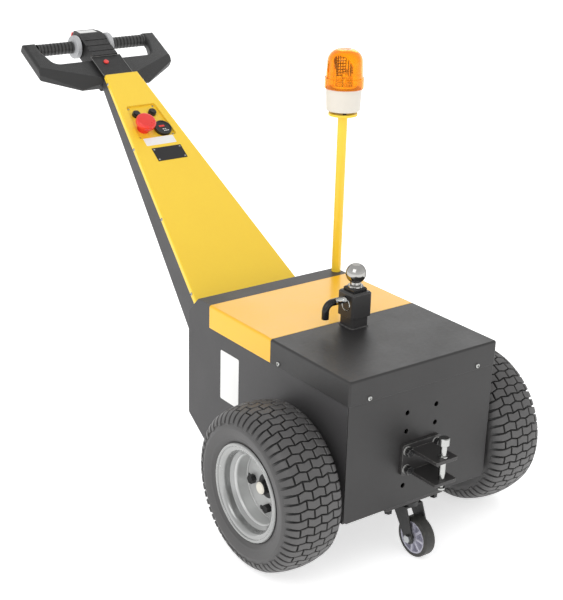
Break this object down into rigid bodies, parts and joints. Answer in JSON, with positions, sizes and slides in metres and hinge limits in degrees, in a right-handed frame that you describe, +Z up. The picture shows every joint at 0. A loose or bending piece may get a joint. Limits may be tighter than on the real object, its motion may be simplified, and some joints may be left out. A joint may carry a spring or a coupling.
{
  "type": "electric tow tug",
  "caption": "Walk-behind electric tow tug with two drive wheels, swivel casters, a yellow tiller column, a tow ball, a drop-pin hitch and an amber beacon.",
  "frame": {"origin": "on the floor under the middle of the outline", "axes": "+Z up, +Y back to the tiller, -Y to the hitch face, +X to the beacon's side"},
  "size_m": [0.794, 1.7376, 1.113],
  "materials": {
    "yellow_paint": "satin yellow powder coat",
    "charcoal_paint": "satin charcoal powder coat",
    "black_paint": "satin black paint",
    "mast_paint": "satin yellow powder coat",
    "inner_black": "battery and drive housing",
    "tyre": "black rubber",
    "rim_silver": "silver paint",
    "zinc": "bright zinc plate",
    "chrome": "polished chrome",
    "black_steel": "black oxide",
    "caster_tread": "dark rubber",
    "caster_hub": "grey nylon",
    "tiller_black": "grained moulding",
    "grip_rubber": "black rubber",
    "thumb_grey": "grey moulding",
    "red_plastic": "red moulding",
    "panel_black": "black panel",
    "beacon_white": "off-white moulding",
    "amber": "amber lens",
    "reflector": "silvered reflector"
  },
  "bodies": {
    "chassis": {"body_shell": "charcoal_paint", "front_plate": "charcoal_paint", "front_cover": "black_paint", "battery_hood": "yellow_paint", "battery_pack": "inner_black", "drive_unit": "black_steel", "handle_column": "charcoal_paint", "column_cover": "yellow_paint", "control_panel": "yellow_paint", "emergency_stop": "red_plastic", "key_gauge": "panel_black", "panel_buttons": "black_steel", "tiller_frame": "tiller_black", "tiller_grips": "grip_rubber", "thumb_wheels": "thumb_grey", "tiller_console": "tiller_black", "reverse_button": "red_plastic", "status_lamp": "red_plastic", "beacon_mast": "mast_paint", "beacon_bracket": "mast_paint", "beacon_base": "beacon_white", "beacon_lens": "amber", "beacon_reflector": "reflector", "receiver_tube": "black_paint", "ball_insert": "black_steel", "tow_ball": "chrome", "hitch_pin": "black_steel", "pin_latch": "zinc", "hitch_bracket": "black_paint", "bracket_bolts": "zinc", "drop_pin": "zinc", "caster_mounts": "black_paint", "caster_bolts": "zinc"},
    "left_drive_wheel": {"tyre_left": "tyre", "rim_left": "rim_silver", "hub_left": "black_steel"},
    "right_drive_wheel": {"tyre_right": "tyre", "rim_right": "rim_silver", "hub_right": "black_steel"},
    "front_caster_swivel": {"front_caster_fork": "black_paint"},
    "front_caster_wheel": {"front_caster_hub": "caster_hub", "front_caster_tread": "caster_tread"},
    "rear_caster_swivel": {"rear_caster_fork": "black_paint"},
    "rear_caster_wheel": {"rear_caster_hub": "caster_hub", "rear_caster_tread": "caster_tread"}
  },
  "joints": [
    {"name": "left_wheel_spin", "type": "hinge", "parent": "chassis", "child": "left_drive_wheel", "pos_m": [-0.318, -0.60681, 0.203], "axis": [1, 0, 0], "continuous": true},
    {"name": "right_wheel_spin", "type": "hinge", "parent": "chassis", "child": "right_drive_wheel", "pos_m": [0.318, -0.60681, 0.203], "axis": [1, 0, 0], "continuous": true},
    {"name": "front_caster_turn", "type": "hinge", "parent": "chassis", "child": "front_caster_swivel", "pos_m": [0, -0.74281, 0.137], "axis": [0, 0, 1], "continuous": true},
    {"name": "front_caster_spin", "type": "hinge", "parent": "front_caster_swivel", "child": "front_caster_wheel", "pos_m": [0, -0.78481, 0.0508], "axis": [1, 0, 0], "continuous": true},
    {"name": "rear_caster_turn", "type": "hinge", "parent": "chassis", "child": "rear_caster_swivel", "pos_m": [0, -0.25681, 0.1083], "axis": [0, 0, 1], "continuous": true},
    {"name": "rear_caster_spin", "type": "hinge", "parent": "rear_caster_swivel", "child": "rear_caster_wheel", "pos_m": [0, -0.29881, 0.04445], "axis": [1, 0, 0], "continuous": true}
  ]
}
